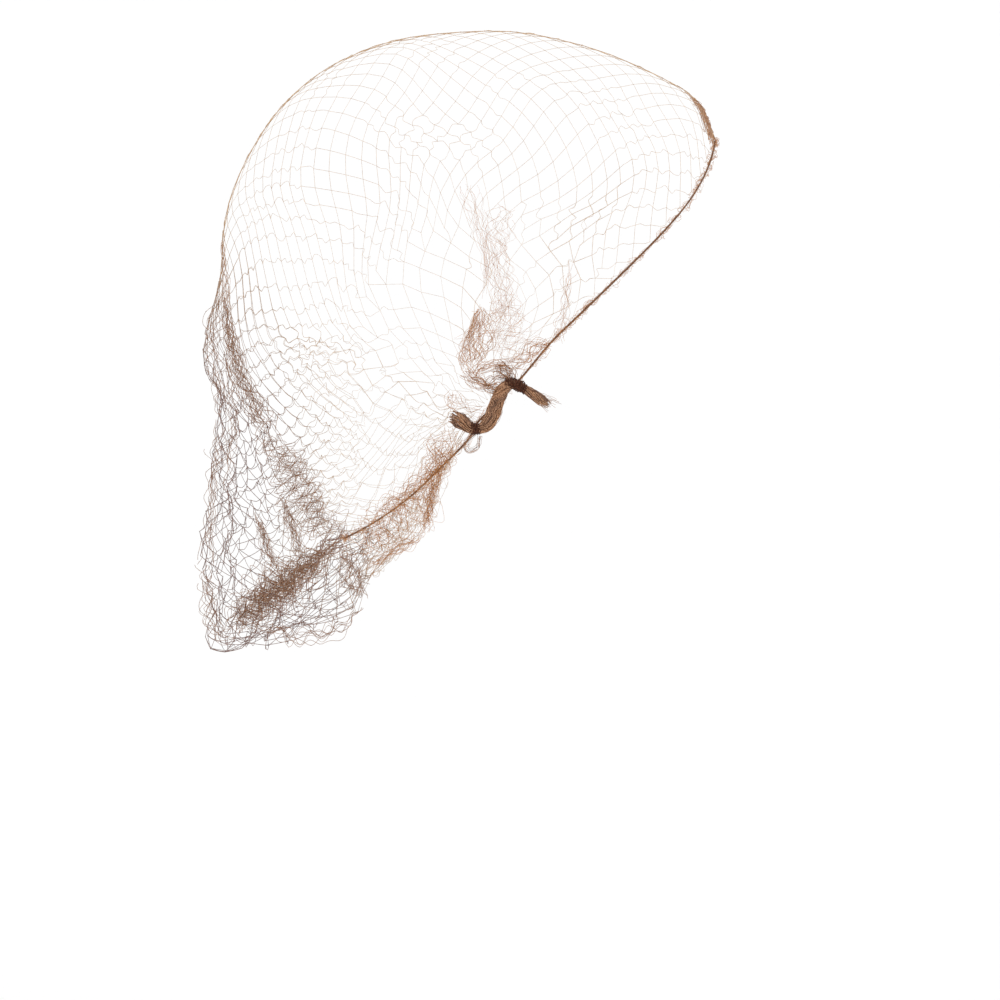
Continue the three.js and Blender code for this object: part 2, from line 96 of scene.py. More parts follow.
gather_centre = np.array([gather_forward, net_wall / 2 - crown_reach])
along_gather = np.array([math.cos(gather_lean), math.sin(gather_lean)])
off_gather = np.array([-math.sin(gather_lean), math.cos(gather_lean)])
bunch_side = -(half_width + bunch_half_depth / 2)

# %% [markdown]
# ## Smooth curves through short tables
# A net under light tension has no corners, so every table is read through a cubic that passes its rows.
# The second helper runs a centripetal curve through points in space, which doesn't overshoot where the
# bag turns round its hem.

# %% Curve helpers
def read_table(keys, values, at):
    count = len(keys)
    up = np.minimum(np.arange(count) + 1, count - 1)
    down = np.maximum(np.arange(count) - 1, 0)
    slope = (values[up] - values[down]) / (keys[up] - keys[down])
    k = np.clip(np.searchsorted(keys, at) - 1, 0, count - 2)
    span = keys[k + 1] - keys[k]
    t = np.clip((at - keys[k]) / span, 0, 1)
    rise = values[k + 1] - values[k]
    bend_a = slope[k] * span - rise
    bend_b = rise - slope[k + 1] * span
    return values[k] + t * rise + t * (1 - t) * ((1 - t) * bend_a + t * bend_b)


def curve_through(points, per_gap):
    """Centripetal curve through points[..., n, 3], with per_gap steps between two of them."""
    first = 2 * points[..., :1, :] - points[..., 1:2, :]
    last = 2 * points[..., -1:, :] - points[..., -2:-1, :]
    p = np.concatenate([first, points, last], axis=-2)
    gap = np.sqrt(np.maximum(np.linalg.norm(np.diff(p, axis=-2), axis=-1), 1e-6))[..., None]
    d0, d1, d2 = gap[..., :-2, :], gap[..., 1:-1, :], gap[..., 2:, :]
    p0, p1, p2, p3 = p[..., :-3, :], p[..., 1:-2, :], p[..., 2:-1, :], p[..., 3:, :]
    leave = ((p1 - p0) / d0 - (p2 - p0) / (d0 + d1) + (p2 - p1) / d1) * d1
    arrive = ((p2 - p1) / d1 - (p3 - p1) / (d1 + d2) + (p3 - p2) / d2) * d1
    t = (np.arange(per_gap) / per_gap)[:, None]
    p1, p2, leave, arrive = (a[..., None, :] for a in (p1, p2, leave, arrive))
    square = 3 * (p2 - p1) - 2 * leave - arrive
    cube = 2 * (p1 - p2) + leave + arrive
    made = p1 + t * leave + t**2 * square + t**3 * cube
    flat = made.reshape(*made.shape[:-3], -1, 3)
    return np.concatenate([flat, points[..., -1:, :]], axis=-2)


def ramp(x, low, high):
    t = np.clip((x - low) / (high - low), 0, 1)
    return t * t * (3 - 2 * t)


# %% [markdown]
# ## The surface that the net lies on
# From the middle plane to the side the crown is a superellipse, a little squarer than an ellipse. Each
# section starts at the front edge, runs over the crown and down the bag, turns round the hem and comes
# back up to the elastic.

# %% Sections of the net
turn = (np.linspace(0, 1, 401) ** 2) * math.pi / 2
curve_spread = np.maximum(np.cos(turn), 0) ** (2 / roundness)
curve_side = np.sin(turn) ** (2 / roundness)
curve_steps = np.hypot(np.diff(curve_spread) * crown_reach, np.diff(curve_side) * half_width)
curve_share = np.concatenate([[0], np.cumsum(curve_steps)])
side_length = curve_share[-1]
curve_share /= side_length
guide_count = 27
guide_steps = 12


def gather_point(share):
    top = upper_tie_rise - tie_length / 2
    bottom = tie_length / 2 - lower_tie_fall
    along = top + np.asarray(share)[..., None] * (bottom - top)
    return gather_centre + along * along_gather + (bunch_half_width + seat_gap) * off_gather


def section(share):
    """Points of the outer and the inner layer, for one share of the way from the middle to the gather."""
    spread = np.interp(share, curve_share, curve_spread)
    side = np.interp(share, curve_share, curve_side)
    part = np.linspace(0, 1, guide_count)
    front = math.degrees(gather_lean) - 0.5 + front_turn * spread ** front_turn_power
    angle = front + part * (outline[-1, 0] - front)
    reach = read_table(outline[:, 0], outline[:, 1], angle) * crown_reach
    turned = np.radians(angle)
    rim = gather_centre + reach[:, None] * np.stack([np.cos(turned), np.sin(turned)], axis=1)
    start = gather_point(part * 0.97)
    crown = start + spread * (rim - start)
    back = read_table(bag_hem[:, 0], bag_hem[:, 1], np.array(spread)) * crown_reach
    drop = read_table(bag_hem[:, 0], bag_hem[:, 2], np.array(spread)) * crown_reach
    hem = gather_centre - np.array([back, drop])
    nape = gather_centre - np.array([nape_back, nape_drop])
    end = gather_point(1.0) * (1 - spread) + nape * spread - off_gather * nape_dip * 4 * spread * (1 - spread)
    inner = side * (half_width - bag_lap - nape_narrowing * 4 * side * (1 - side))
    guides = [(x, -side * half_width, z) for x, z in crown]
    guides.append((hem[0], -(side * half_width + inner) / 2, hem[1]))
    guides.append((end[0], -inner, end[1]))
    line = curve_through(np.array(guides), guide_steps)
    return line[:-guide_steps], line[-guide_steps - 1:]


def spaced(line, shares):
    length = np.concatenate([[0], np.cumsum(np.linalg.norm(np.diff(line, axis=0), axis=1))])
    return np.stack([np.interp(shares * length[-1], length, line[:, k]) for k in range(3)], axis=1)


# %% [markdown]
# ## The chart of the net
# The netting is knotted flat, as rows of diamonds whose sides are all one length. A chart keeps that: i
# counts half diamonds from the front edge to the back, j from the middle to each gather. Rows get
# longer and columns close up towards the gather, as they do when a real net is pulled into a bunch.

# %% Chart of the net
bar = 6.5
columns_outer = 90
columns_inner = 12
rows_side = 32
columns = columns_outer + columns_inner
row_growth = 0.14

i_all = np.arange(columns + 1)
part_outer = np.minimum(i_all / columns_outer, 1)
share_outer = part_outer * (1.12 - 0.12 * part_outer)
share_inner = np.maximum(i_all - columns_outer, 0) / columns_inner
part_row = np.arange(rows_side + 1) / rows_side
row_share = part_row * (1 - row_growth + row_growth * part_row**2)

near_half = []
for share in row_share:
    outer, inner = section(share)
    here = spaced(outer, share_outer)
    here[columns_outer:] = spaced(inner, share_inner[columns_outer:])
    near_half.append(here)
near_half = np.array(near_half)
far_half = near_half[:0:-1] * np.array([1, -1, 1])
surface = np.concatenate([far_half, near_half]).transpose(1, 0, 2)  # surface[i, j + rows_side]
row_across = np.concatenate([-row_share[:0:-1], row_share])
half_diamond = bar / math.sqrt(2)
print("chart:", surface.shape, "flat size mm:", columns * half_diamond, 2 * rows_side * half_diamond)


def normals_of(grid):
    along = np.gradient(grid, axis=0)
    across = np.gradient(grid, axis=1)
    n = np.cross(along, across)
    n[:, 0] = n[:, 2]
    n[:, -1] = n[:, -3]
    return n / np.maximum(np.linalg.norm(n, axis=2), 1e-9)[..., None]


# %% [markdown]
# ## Folds and slack
# Where the chart is longer than the surface, the net is slack and lies in folds. They could be left to
# a cloth simulation, but 5,500 loose bars ask a lot of it. Here a few smooth waves
# push the surface in and out, and the threads then find their own length on it. The crown is the same
# on both sides, the bag is not.

# %% Folds
def waves(points, size, count, seed):
    """Smooth noise about 1 high, from plane waves of about the given size in millimetres."""
    draw = np.random.default_rng(seed)
    way = draw.normal(size=(count, 3))
    way /= np.linalg.norm(way, axis=1)[:, None]
    pace = 2 * math.pi / (size * draw.uniform(0.7, 1.4, count))
    phase = draw.uniform(0, 2 * math.pi, count)
    return np.sin(points @ (way * pace[:, None]).T + phase).sum(axis=-1) * math.sqrt(2 / count)


def hump(at_u, at_v, wide_u, wide_v):
    return np.exp(-((u - at_u) / wide_u) ** 2 - ((v - at_v) / wide_v) ** 2)


def both_sides(points):
    return points * np.array([1, 0, 1]) - np.abs(points) * np.array([0, 1, 0])


def side_noise(points, size, seed, same):
    """Three noises as a vector. Where same is 1 the far side mirrors the near one."""
    mirror = np.stack([waves(both_sides(points), size, 14, seed + k) for k in range(3)], axis=-1)
    mirror[..., 1] *= -np.sign(points[..., 1]) * (np.abs(points[..., 1]) > 0.01)
    free = np.stack([waves(points, size, 14, seed + 5 + k) for k in range(3)], axis=-1)
    return mirror * same + free * (1 - same)


u = (i_all / columns_outer)[:, None]
v = np.abs(row_across)[None, :]
near = (row_across > 0)[None, :]
bag = ramp(share_outer, 0.6, 0.82)[:, None] * (1 - ramp(v, 0.8, 1))
loose = ramp(share_outer, 0.62, 0.85)[:, None] * (1 - 0.75 * ramp(v, 0.3, 0.7)) * (1 - ramp(v, 0.8, 0.95))
fan = ramp(v, 0.55, 0.86) * (1 - ramp(v, 0.92, 1))
n = normals_of(surface)
lift = 0.2 * waves(both_sides(surface), 45, 16, 1) + 0.15
lift = lift + 1.1 * fan * np.cos(2 * math.pi * u * 20)
lift = lift + loose * (2.3 * waves(surface, 30, 20, 2) + 1.7 * waves(surface, 13, 24, 3) - 1.3)
lift = lift + near * (3.6 * hump(0.29, 0.86, 0.05, 0.08) + 1.6 * hump(0.08, 0.72, 0.03, 0.16))
target = surface + n * lift[..., None]
sway = side_noise(surface, 48, 4, 1 - bag[..., None])
sway -= n * (sway * n).sum(axis=-1, keepdims=True)
drift = 1.9 * (1 - ramp(v, 0.8, 0.97)) * ramp(u, 0, 0.06) * (1 - 0.5 * bag)
ripple = side_noise(surface, 11, 44, 1 - bag[..., None])
ripple -= n * (ripple * n).sum(axis=-1, keepdims=True)
curl = 0.9 * ramp(v, 0.45, 0.75) * (1 - ramp(v, 0.88, 0.98)) * ramp(u, 0, 0.06)
target = target + sway * drift[..., None] + ripple * curl[..., None]

# %% [markdown]
# ## Knots, bars and their real length
# Each knot joins four bars of thread. A bar is 6.5 mm long and gives little, so where two knots sit
# closer than that the bar bows out sideways. Position based dynamics does this: every step moves the
# points towards their lengths, and the points stay close to the surface they lie on. Towards the gather
# two meshes are worked into one, twice over, as a netmaker does to close a net.

# %% Relax the net
knot_i, knot_j = np.meshgrid(i_all, np.arange(2 * rows_side + 1), indexing="ij")
knot_row = np.abs(knot_j - rows_side)
decreases = ((0, 1), (22, 2), (30, 4))  # from this row outwards, half diamonds are this many columns wide


def knots_of(first_row, pitch):
    return (knot_i % pitch == 0) & ((knot_i // pitch + knot_row - first_row) % 2 == 0)


is_knot = knots_of(0, 1)
for first_row, pitch in decreases[1:]:
    is_knot = np.where(knot_row > first_row, knots_of(first_row, pitch), is_knot)
knot_id = np.full(is_knot.shape, -1)
knot_id[is_knot] = np.arange(is_knot.sum())
knots_i, knots_j = knot_i[is_knot], knot_j[is_knot]
knots_row = np.abs(knots_j - rows_side)
starts, ends = [], []


def tie_bars(some, step_i, way):
    """Joins knots with the knots one row further out and step_i columns along."""
    i, j = knots_i[some] + step_i, knots_j[some] + way
    inside = (i >= 0) & (i <= columns) & (j >= 0) & (j <= 2 * rows_side)
    other = knot_id[np.clip(i, 0, columns), np.clip(j, 0, 2 * rows_side)]
    inside &= other >= 0
    starts.append(np.flatnonzero(some)[inside])
    ends.append(other[inside])


last_rows = [first_row for first_row, _ in decreases[1:]] + [rows_side]
for (first_row, pitch), last_row in zip(decreases, last_rows):
    for way in (1, -1):
        on_side = (knots_j - rows_side) * way >= 0
        band = on_side & (knots_row >= first_row) & (knots_row < last_row)
        regular = (knots_i % pitch == 0) & ((knots_i // pitch + knots_row - first_row) % 2 == 0)
        tie_bars(band & regular, pitch, way)
        tie_bars(band & regular, -pitch, way)
        if first_row > 0:
            tie_bars(band & ~regular & (knots_row == first_row), 0, way)
starts, ends = np.concatenate(starts), np.concatenate(ends)
knot_home = target[is_knot]
knot_normal = normals_of(target)[is_knot]
knot_bag = np.broadcast_to(bag, is_knot.shape)[is_knot]
knot_fan = np.broadcast_to(ramp(v, 0.7, 0.95), is_knot.shape)[is_knot]
print("knots:", len(knot_home), "bars:", len(starts))


def relax(steps):
    a, b = knot_home[starts], knot_home[ends]
    home = np.concatenate([knot_home, a + (b - a) / 3, a + (b - a) * 2 / 3])
    count, bars = len(knot_home), len(starts)
    normal = np.concatenate([knot_normal, knot_normal[starts], knot_normal[ends]])
    slack = np.concatenate([knot_bag, knot_bag[starts], knot_bag[ends]])
    bunch = np.concatenate([knot_fan, knot_fan[starts], knot_fan[ends]])
    low = -0.05 - 1.6 * slack - 0.5 * bunch
    high = 0.25 + 1.9 * slack + 0.9 * bunch
    free = np.ones(count)
    free[(knots_i == 0) | (knots_i == columns)] = 0.15
    free[(knots_j == 0) | (knots_j == 2 * rows_side)] = 0
    hold = 0.12 - 0.09 * knot_bag
    noise = side_noise(home, 5, 30, 1 - slack[:, None])
    points = home + 0.8 * noise * np.concatenate([free, np.ones(2 * bars)])[:, None]
    one = slice(count, count + bars)
    two = slice(count + bars, None)
    weight = np.maximum(np.bincount(starts, minlength=count) + np.bincount(ends, minlength=count), 1)
    rest = bar / 3
    for _ in range(steps):
        p, q, r, s = points[starts], points[one], points[two], points[ends]
        moves = []
        for x, y in ((p, q), (q, r), (r, s)):
            d = y - x
            length = np.linalg.norm(d, axis=1)[:, None]
            moves.append(d * (1 - rest / np.maximum(length, 1e-6)))
        bend_q = (p + r) / 2 - q
        bend_r = (q + s) / 2 - r
        points[one] += 0.45 * (moves[1] - moves[0]) + 0.06 * bend_q
        points[two] += 0.45 * (moves[2] - moves[1]) + 0.06 * bend_r
        pull = np.zeros((count, 3))
        for axis in range(3):
            leaving = np.bincount(starts, moves[0][:, axis], count)
            pull[:, axis] = leaving - np.bincount(ends, moves[2][:, axis], count)
        points[:count] += (0.5 * pull / weight[:, None]) * free[:, None]
        points[:count] += (knot_home - points[:count]) * (hold * free)[:, None]
        points[:, 2] -= 0.012 * slack
        off = ((points - home) * normal).sum(axis=1)
        points -= normal * (off - np.clip(off, low, high))[:, None]
    return points[:count], points[one], points[two]


relax_steps = 240
knots, first_third, last_third = relax(relax_steps)


def behind_the_near_side(points, slack):
    """Moves the far crown's threads by up to about 1 mm, to lie behind the near ones from the side."""
    depth = 2 * np.maximum(points[:, 1], 0) / (camera_distance / MM)
    shift = (points - view_middle) * (depth * (1 - slack))[:, None]
    shift[:, 1] = 0
    return points + shift


slack_start, slack_end = knot_bag[starts], knot_bag[ends]
first_third = behind_the_near_side(first_third, slack_start)
last_third = behind_the_near_side(last_third, slack_end)
knots = behind_the_near_side(knots, knot_bag)
length = sum(
    np.linalg.norm(y - x, axis=1)
    for x, y in ((knots[starts], first_third), (first_third, last_third), (last_third, knots[ends]))
)
print("bar length mm: %.2f to %.2f" % tuple(np.percentile(length, (2, 98))))

# %% [markdown]
# ## Materials
# Each finish is built from nodes and reads Object coordinates. Colours are picked as sRGB hex and
# turned to linear. Thread is paler and warmer where it is stretched; where it hangs slack it takes
# darker, greyer tones, which are painted shade of the hanging net.

# %% Material helpers
def linear(hex_colour):
    channels = [int(hex_colour[k:k + 2], 16) / 255 for k in (1, 3, 5)]
    return tuple(c / 12.92 if c <= 0.04045 else ((c + 0.055) / 1.055) ** 2.4 for c in channels) + (1.0,)


def add_node(tree, kind, settings=(), values=(), links=()):
    """Adds one node, sets it and links its inputs."""
    node = tree.nodes.new(kind)
    for name, value in dict(settings).items():
        setattr(node, name, value)
    for name, value in dict(values).items():
        node.inputs[name].default_value = value
    for name, socket in dict(links).items():
        tree.links.new(socket, node.inputs[name])
    return node


def two_tones(tree, factor, dark, light, low, high):
    ramp_node = add_node(tree, "ShaderNodeValToRGB", links={"Fac": factor})
    ramp_node.color_ramp.elements[0].position = low
    ramp_node.color_ramp.elements[0].color = linear(dark)
    ramp_node.color_ramp.elements[1].position = high
    ramp_node.color_ramp.elements[1].color = linear(light)
    return ramp_node.outputs["Color"]


def thread_finish(name, tight, slack, rough, grain_mm):
    """Spun thread. Tight and slack are each a pair of hex colours, for hollows and for fibres on top."""
    material = bpy.data.materials.new(name)
    material.use_nodes = True
    tree = material.node_tree
    tree.nodes.clear()
    place = add_node(tree, "ShaderNodeTexCoord")
    noise = add_node(
        tree, "ShaderNodeTexNoise", values={"Scale": 1 / (grain_mm * MM), "Detail": 3.0},
        links={"Vector": place.outputs["Object"]},
    )
    share = add_node(tree, "ShaderNodeAttribute", {"attribute_name": "slack"})
    # The slack attribute mixes towards the slack pair: darker, greyer tones that are painted shade of the
    # hanging net.
    mix = add_node(tree, "ShaderNodeMix", {"data_type": "RGBA"}, links={"Factor": share.outputs["Fac"]})
    tree.links.new(two_tones(tree, noise.outputs["Fac"], *tight, 0.35, 0.65), mix.inputs[6])
    tree.links.new(two_tones(tree, noise.outputs["Fac"], *slack, 0.35, 0.65), mix.inputs[7])
    bump = add_node(
        tree, "ShaderNodeBump", values={"Strength": 0.5, "Distance": 0.06 * MM},
        links={"Height": noise.outputs["Fac"]},
    )
    shader = add_node(
        tree, "ShaderNodeBsdfPrincipled",
        values={"Roughness": rough, "Specular IOR Level": 0.2, "Sheen Weight": 0.05},
        links={"Base Color": mix.outputs[2], "Normal": bump.outputs["Normal"]},
    )
    add_node(tree, "ShaderNodeOutputMaterial", links={"Surface": shader.outputs["BSDF"]})
    return material


# Knotted nylon thread of the net, warm tan where it is stretched, and a greyer brown of painted shade where
# it hangs.
net_thread = thread_finish(
    "twisted_nylon_thread", ("#a17b5a", "#dcbd99"), ("#5c453e", "#9a7a70"), 0.55, 0.8,
)
# The same thread pressed together in the gathers and folds, where it looks its full brown, and a darker,
# greyer brown of painted shade where it hangs slack.
bundled_thread = thread_finish(
    "bundled_nylon_thread", ("#8f6143", "#d6a883"), ("#523b31", "#8a6859"), 0.6, 0.5,
)
# Folds of few layers, where light comes through and the thread looks tan, and a greyer brown of painted shade
# where they hang slack.
folded_thread = thread_finish(
    "folded_nylon_thread", ("#96592c", "#d89f68"), ("#5f473e", "#9d7a6b"), 0.6, 0.5,
)
# Thin rubber core wound with brown thread.
elastic_cover = thread_finish(
    "wound_elastic_cover", ("#513322", "#8f6547"), ("#513322", "#8f6547"), 0.75, 0.35,
)
# Dark sewing thread, pulled tight round each end of the gather.
tie_cover = thread_finish(
    "tight_tie_thread", ("#2c160d", "#633824"), ("#2c160d", "#633824"), 0.9, 0.3,
)

# %% [markdown]
# ## Threads by Geometry Nodes
# Thousands of equal tubes are a job for Geometry Nodes: the polylines become curves, a small circle
# runs along them, and a knot sits on every crossing. The tree ends in Realize Instances and Set
# Material, so that a plain mesh is left.

# %% Thread tree
def named_value(tree, name):
    node = add_node(tree, "GeometryNodeInputNamedAttribute", {"data_type": "FLOAT"}, {"Name": name})
    return node.outputs["Attribute"]


def random_vector(tree, low, high, seed):
    node = add_node(tree, "FunctionNodeRandomValue", {"data_type": "FLOAT_VECTOR"}, {"Seed": seed})
    node.inputs["Min"].default_value = low
    node.inputs["Max"].default_value = high
    return node.outputs["Value"]


def thread_tree():
    tree = bpy.data.node_groups.new("threads", "GeometryNodeTree")
    face = tree.interface
    for label, kind in (("Geometry", "Geometry"), ("Sides", "Int"), ("Material", "Material")):
        face.new_socket(label, in_out="INPUT", socket_type="NodeSocket" + kind)
    face.new_socket("Geometry", in_out="OUTPUT", socket_type="NodeSocketGeometry")
    given = add_node(tree, "NodeGroupInput")
    curve = add_node(tree, "GeometryNodeMeshToCurve", links={"Mesh": given.outputs["Geometry"]})
    circle = add_node(
        tree, "GeometryNodeCurvePrimitiveCircle", values={"Radius": 1.0},
        links={"Resolution": given.outputs["Sides"]},
    )
    tube = add_node(
        tree, "GeometryNodeCurveToMesh", values={"Fill Caps": True},
        links={
            "Curve": curve.outputs["Curve"], "Profile Curve": circle.outputs["Curve"],
            "Scale": named_value(tree, "thickness"),
        },
    )
    knot_size = named_value(tree, "knot")
    where = add_node(
        tree, "GeometryNodeMeshToPoints",
        links={"Mesh": given.outputs["Geometry"], "Selection": knot_size},
    )
    ball = add_node(tree, "GeometryNodeMeshIcoSphere", values={"Subdivisions": 1, "Radius": 1.0})
    uneven = add_node(
        tree, "ShaderNodeVectorMath", {"operation": "SCALE"},
        links={"Vector": random_vector(tree, (0.8, 0.8, 0.9), (1.2, 1.2, 1.7), 5), "Scale": knot_size},
    )
    tied = add_node(
        tree, "GeometryNodeInstanceOnPoints",
        links={
            "Points": where.outputs["Points"], "Instance": ball.outputs["Mesh"],
            "Rotation": random_vector(tree, (0, 0, 0), (6.28, 6.28, 6.28), 3),
            "Scale": uneven.outputs["Vector"],
        },
    )
    both = add_node(tree, "GeometryNodeJoinGeometry")
    tree.links.new(tube.outputs["Mesh"], both.inputs["Geometry"])
    tree.links.new(tied.outputs["Instances"], both.inputs["Geometry"])
    real = add_node(tree, "GeometryNodeRealizeInstances", links={"Geometry": both.outputs["Geometry"]})
    done = add_node(
        tree, "GeometryNodeSetMaterial",
        links={"Geometry": real.outputs["Geometry"], "Material": given.outputs["Material"]},
    )
    add_node(tree, "NodeGroupOutput", links={"Geometry": done.outputs["Geometry"]})
    return tree


threads = thread_tree()


def threads_from(lines):
    """Joins a list of (points, radii, slack, knot radii) polylines into flat arrays with their edges."""
    points = np.concatenate([line[0] for line in lines])
    radii, slack, tied = (np.concatenate([line[k] for line in lines]) for k in (1, 2, 3))
    counts = np.array([len(line[0]) for line in lines])
    last = np.cumsum(counts) - 1
    first = np.setdiff1d(np.arange(len(points)), last)
    return points, radii, slack, tied, np.stack([first, first + 1], axis=1)


def build_threads(name, flat, sides, material, replaces):
    """Builds one plain mesh of tubes and knots from the arrays, and gives it its place in the frame."""
    points, radii, slack, tied, edges = flat
    mesh = bpy.data.meshes.new(name + "_lines")
    mesh.vertices.add(len(points))
    mesh.vertices.foreach_set("co", (points * MM).astype(np.float32).ravel())
    mesh.edges.add(len(edges))
    mesh.edges.foreach_set("vertices", edges.astype(np.int32).ravel())
    for label, values in (("thickness", radii * MM), ("slack", slack), ("knot", tied * MM)):
        held = mesh.attributes.new(label, "FLOAT", "POINT")
        held.data.foreach_set("value", values.astype(np.float32))
    piece = bpy.data.objects.new(name, mesh)
    bpy.context.scene.collection.objects.link(piece)
    modifier = piece.modifiers.new("threads", "NODES")
    modifier.node_group = threads
    sockets = {s.name: s.identifier for s in threads.interface.items_tree if s.in_out == "INPUT"}
    modifier[sockets["Sides"]] = sides
    modifier[sockets["Material"]] = material
    bpy.context.view_layer.update()
    made = bpy.data.meshes.new_from_object(piece.evaluated_get(bpy.context.evaluated_depsgraph_get()))
    piece.modifiers.remove(modifier)
    piece.data = made
    made.name = name
    bpy.data.meshes.remove(mesh)
    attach(piece, "root")
    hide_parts(replaces)
    made.calc_loop_triangles()
    print(name, "triangles:", len(made.loop_triangles))
    return piece


# %% [markdown]
# ## The netting
# The thread of such a net is 0.1 to 0.2 mm thick: crimped nylon is thin where it is stretched over the
# crown, and bulks up where it hangs slack. Four pieces keep each mesh light.

# %% Netting
crown_thread_radius = 0.056
bag_thread_radius = 0.1
knot_per_thread = 1.7
rim_thickening = 1.35  # in the middle plane, where the crown is seen edge on
gather_thinning = 0.25
crown_end = 50  # the half diamond from the front edge at which the bag's pieces start
knot_u = knots_i / columns_outer
knot_v = np.abs(row_across[knots_j])
# This share thickens the threads where the net hangs. Through the slack attribute it also mixes in the
# darker, greyer tones of painted shade.
knot_slack = ramp(knot_u, 0.5, 0.75) * (1 - ramp(knot_v, 0.3, 0.65))


def net_arrays(bars_in, knots_in):
    lines = np.stack([knots[starts], first_third, last_third, knots[ends]], axis=1)[bars_in]
    lines = curve_through(lines, 2)
    count, per, _ = lines.shape
    weight = np.linspace(0, 1, per)
    slack = knot_slack[starts][bars_in][:, None] * (1 - weight) + knot_slack[ends][bars_in][:, None] * weight
    slack = np.concatenate([slack.ravel(), knot_slack[knots_in]])
    points = np.concatenate([lines.reshape(-1, 3), knots[knots_in]])
    radii = crown_thread_radius + (bag_thread_radius - crown_thread_radius) * slack
    at_rim = (1 - ramp(np.abs(points[:, 1]), 6, 18)) * (1 - slack)
    radii *= 1 + rim_thickening * at_rim
    radii *= 1 - gather_thinning * ramp(np.abs(points[:, 1]), 62, 72) * (1 - slack)
    tied = np.where(np.arange(len(points)) < count * per, 0, radii * knot_per_thread)
    first = (np.arange(count) * per)[:, None] + np.arange(per - 1)
    edges = np.stack([first.ravel(), first.ravel() + 1], axis=1)
    return points, radii, slack, tied, edges


bar_i = (knots_i[starts] + knots_i[ends]) / 2
bar_near = (knots_j[starts] + knots_j[ends]) / 2 > rows_side
knot_near = knots_j > rows_side
regions = {
    "net_crown_near": (bar_near & (bar_i < crown_end), knot_near & (knots_i < crown_end)),
    "net_crown_far": (~bar_near & (bar_i < crown_end), ~knot_near & (knots_i < crown_end)),
    "net_bag_near": (bar_near & (bar_i >= crown_end), knot_near & (knots_i >= crown_end)),
    "net_bag_far": (~bar_near & (bar_i >= crown_end), ~knot_near & (knots_i >= crown_end)),
}
for name, (bars_in, knots_in) in regions.items():
    build_threads(name, net_arrays(bars_in, knots_in), 4, net_thread, "net")

# %% [markdown]
# ## Folds where the net lies double
# Slack netting gathers in narrow folds that look far darker than the open mesh. Each fold here is a
# strip of the same netting pushed together: threads that zigzag along a path and cross each other. The
# paths lie on the net's own surface. They could be sculpted by hand, but strips laid on the surface
# stay with the net when it changes.

# %% Fold helpers
path_step = 0.9
sheet = surface[:columns_outer + 1, rows_side:].reshape(-1, 3)
sheet_normal = n[:columns_outer + 1, rows_side:].reshape(-1, 3)


def smooth_noise(count, steps, pace, draw):
    """Rows of noise about 1 high, with pace steps between two turning points."""
    keys = max(int(steps / pace) + 3, 4)
    values = draw.normal(size=(count, keys))
    at = np.linspace(0, keys - 1.001, steps)
    k = at.astype(int)
    t = at - k
    t = t * t * (3 - 2 * t)
    return values[:, k] * (1 - t) + values[:, k + 1] * t


def strand(line, radius, slack=0.0, knot=0.0):
    """One thread: its points and, at each of them, the radius, the slack and the size of a knot."""
    full = np.ones(len(line))
    return line, full * radius, full * slack, full * knot


def from_picture(pixels):
    """Places x, z in the side view, from steps of mm_per_pixel right of and below its corner."""
    pixels = np.asarray(pixels, float)
    right = view_corner[0] + pixels[..., 0] * mm_per_pixel
    up = view_corner[2] - pixels[..., 1] * mm_per_pixel
    return np.stack([right, up], axis=-1)


def evened(values, window):
    """A running mean that keeps the length."""
    half = window // 2
    padded = np.pad(values, half, mode="edge")
    return np.convolve(padded, np.ones(window) / window, mode="valid")[:len(values)]


def on_net(flat, height):
    """Lays points x, z on the near side of the net, height millimetres out from it."""
    out = np.empty(flat.shape[:-1] + (3,))
    for k, row in enumerate(flat):
        gap = ((row[:, None, :] - sheet[None, :, (0, 2)]) ** 2).sum(axis=-1)
        order = np.argpartition(gap, 5, axis=1)[:, :5]
        weight = 1 / (np.take_along_axis(gap, order, axis=1) + 0.5)
        weight /= weight.sum(axis=1)[:, None]
        side = evened((sheet[order, 1] * weight).sum(axis=1), 7)
        lift_way = (sheet_normal[order, 1] * weight).sum(axis=1)
        out[k] = np.stack([row[:, 0], side + lift_way * height[k], row[:, 1]], axis=1)
    return out


def along_path(pixels, widths):
    path = from_picture(pixels)
    path = curve_through(np.concatenate([path, np.zeros((len(path), 1))], axis=1), 12)[:, :2]
    length = np.concatenate([[0], np.cumsum(np.linalg.norm(np.diff(path, axis=0), axis=1))])
    at = np.linspace(0, length[-1], max(int(length[-1] / path_step), 6))
    line = np.stack([np.interp(at, length, path[:, k]) for k in range(2)], axis=1)
    ahead = np.gradient(line, axis=0)
    ahead /= np.linalg.norm(ahead, axis=1)[:, None]
    across = np.stack([-ahead[:, 1], ahead[:, 0]], axis=1)
    wide = np.interp(at / at[-1], np.linspace(0, 1, len(widths)), widths) * mm_per_pixel / 2
    return line, across, wide


